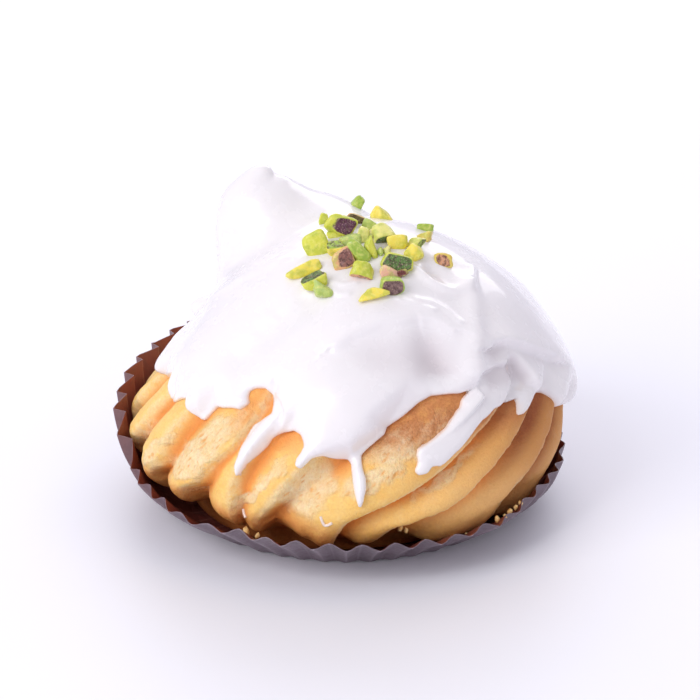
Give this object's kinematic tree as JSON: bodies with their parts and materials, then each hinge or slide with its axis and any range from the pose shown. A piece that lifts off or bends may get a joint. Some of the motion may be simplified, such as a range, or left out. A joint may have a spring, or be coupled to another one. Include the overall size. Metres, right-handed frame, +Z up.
{
  "type": "cream puff",
  "caption": "Round ribbed choux bun in a pleated paper case, capped with thick dripping white icing that rises in a soft peak and carries chopped pistachio.",
  "frame": {"origin": "middle of the paper case's flat round base, in the plane of the table", "axes": "+Z up out of the base; the front, which the picture faces, looks along -Y; +X is the viewer's right"},
  "size_m": [0.0926, 0.0924, 0.0644],
  "materials": {
    "paper": "dark brown pleated baking paper, greyer outside",
    "choux": "baked choux pastry, golden, finely porous",
    "icing": "glossy white icing with chopped green pistachio"
  },
  "bodies": {
    "root": {"paper_case": "paper", "choux_bun": "choux", "icing": "icing"}
  },
  "joints": []
}
